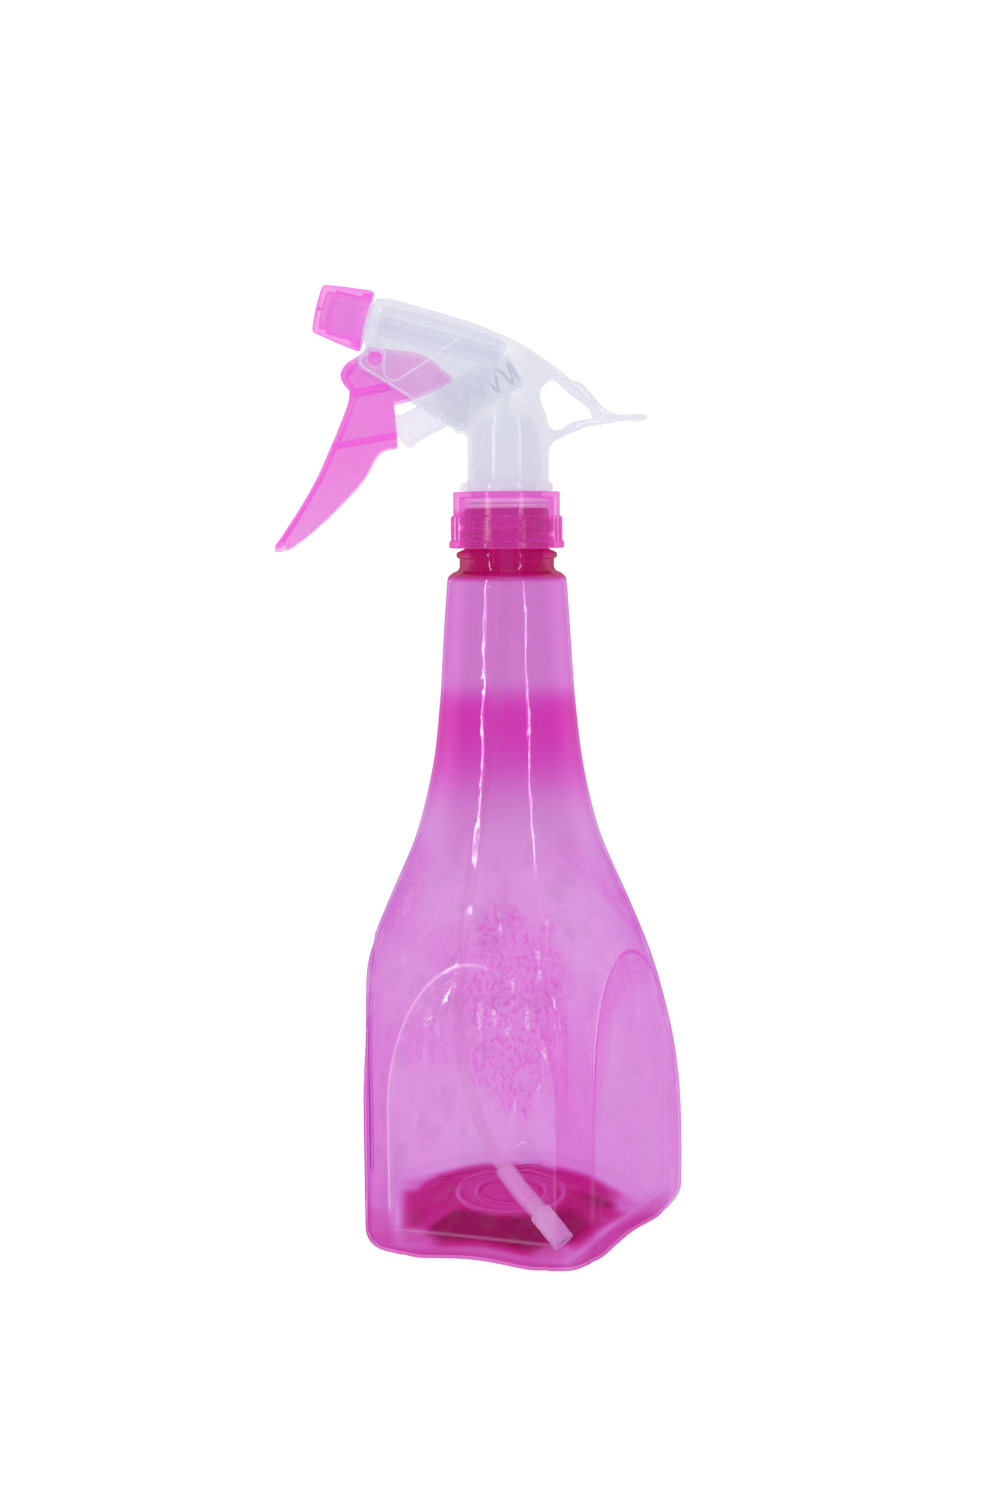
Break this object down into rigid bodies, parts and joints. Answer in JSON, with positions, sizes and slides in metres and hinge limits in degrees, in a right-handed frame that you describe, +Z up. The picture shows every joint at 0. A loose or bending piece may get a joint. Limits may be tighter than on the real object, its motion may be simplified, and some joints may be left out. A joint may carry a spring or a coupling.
{
  "type": "hand mister",
  "caption": "Trigger spray bottle: transparent five-sided bottle with a tall round neck, screw collar, milky sprayer head with rear loop, ribbed trigger and adjustable nozzle.",
  "frame": {"origin": "on the ground, midway between the trigger's tip and the bottle's rear corner; the neck axis stands at X = 7.3 mm", "axes": "+Z up along the neck; the nozzle points to -X and one corner of the five-sided base points to +X"},
  "size_m": [0.1224, 0.103, 0.2832],
  "materials": {
    "clear_pink": "transparent blown plastic, tinted pink",
    "collar_pink": "translucent moulded plastic, gloss",
    "moulded_pink": "translucent moulded plastic, satin gloss",
    "milky": "milky natural polypropylene",
    "white": "natural moulded plastic",
    "seal": "soft seal",
    "steel": "drawn stainless wire",
    "tube": "soft translucent tube"
  },
  "bodies": {
    "bottle": {"bottle": "clear_pink"},
    "sprayer": {"sprayer_housing": "milky", "shank_connector": "white", "neck_gasket": "seal", "ball_stop": "white", "dip_tube": "tube", "tube_sleeve": "tube", "intake_filter": "tube", "filter_screen": "white", "spinner": "white", "return_spring": "steel", "discharge_spring": "steel"},
    "collar": {"collar": "collar_pink"},
    "trigger": {"trigger": "moulded_pink"},
    "piston": {"piston": "milky", "piston_seal": "seal", "piston_wiper": "seal"},
    "intake_ball": {"intake_ball": "steel"},
    "discharge_valve": {"discharge_valve": "white"},
    "nozzle_seal": {"nozzle_seal": "seal"},
    "nozzle_cap": {"nozzle_cap": "moulded_pink"}
  },
  "joints": [
    {"name": "head_lift", "type": "slide", "parent": "bottle", "child": "sprayer", "axis": [0, 0, 1], "range_m": [0, 0.00634]},
    {"name": "collar_turn", "type": "hinge", "parent": "sprayer", "child": "collar", "pos_m": [0.0073, 0, 0.215], "axis": [0, 0, 1], "range_deg": [0, 540]},
    {"name": "trigger_squeeze", "type": "hinge", "parent": "sprayer", "child": "trigger", "pos_m": [-0.0309, 0, 0.2615], "axis": [0, -1, 0], "range_deg": [0, 19]},
    {"name": "piston_stroke", "type": "slide", "parent": "sprayer", "child": "piston", "axis": [0.8829, 0, 0.4695], "range_m": [0, 0.0073], "stiffness_N_per_m": 600, "springref_m": -0.006, "deforming": ["return_spring"]},
    {"name": "intake_ball_lift", "type": "slide", "parent": "sprayer", "child": "intake_ball", "axis": [0, 0, 1], "range_m": [0, 0.0014]},
    {"name": "discharge_valve_lift", "type": "slide", "parent": "sprayer", "child": "discharge_valve", "axis": [-0.9659, 0, 0.2588], "range_m": [0, 0.0012], "stiffness_N_per_m": 40, "springref_m": -0.001, "deforming": ["discharge_spring"]},
    {"name": "nozzle_turn", "type": "hinge", "parent": "nozzle_seal", "child": "nozzle_cap", "pos_m": [-0.03329, 0, 0.27271], "axis": [-0.9659, 0, 0.2588], "range_deg": [-270, 540]},
    {"name": "nozzle_advance", "type": "slide", "parent": "sprayer", "child": "nozzle_seal", "axis": [-0.9659, 0, 0.2588], "range_m": [-0.00119, 0.00239]}
  ],
  "couplings": [
    {"joint": "collar_turn", "follows": "head_lift", "rad_per_m": 1484.3},
    {"joint": "trigger_squeeze", "follows": "piston_stroke", "rad_per_m": 45.249},
    {"joint": "nozzle_turn", "follows": "nozzle_advance", "rad_per_m": 3927}
  ]
}
